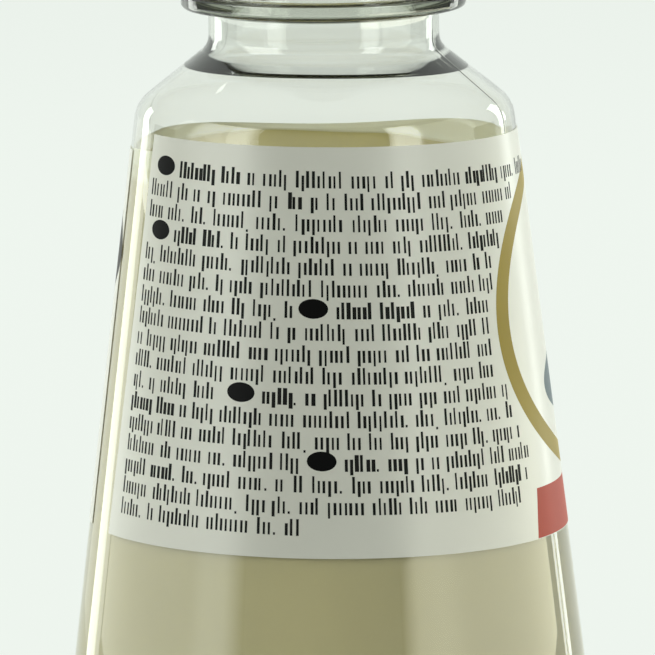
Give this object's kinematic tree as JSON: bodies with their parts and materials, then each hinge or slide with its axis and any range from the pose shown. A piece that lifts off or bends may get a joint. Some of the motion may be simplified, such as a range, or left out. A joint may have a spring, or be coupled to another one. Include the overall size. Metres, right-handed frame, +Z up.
{
  "type": "mayonnaise squeeze bottle",
  "caption": "Clear round tapered squeeze bottle of mayonnaise, with a wrap-round label and a shut flip-top cap.",
  "frame": {"origin": "centre of the standing ring, on the surface that the bottle stands on", "axes": "+Z up along the bottle's axis, -Y towards the label's back panel"},
  "size_m": [0.0822, 0.0822, 0.1601],
  "materials": {
    "clear_bottle": "clear gloss",
    "mayonnaise": "smooth cream",
    "label": "satin printed film",
    "cap": "satin moulded"
  },
  "bodies": {
    "root": {"bottle": "clear_bottle", "mayonnaise": "mayonnaise", "label": "label", "cap": "cap"}
  },
  "joints": []
}
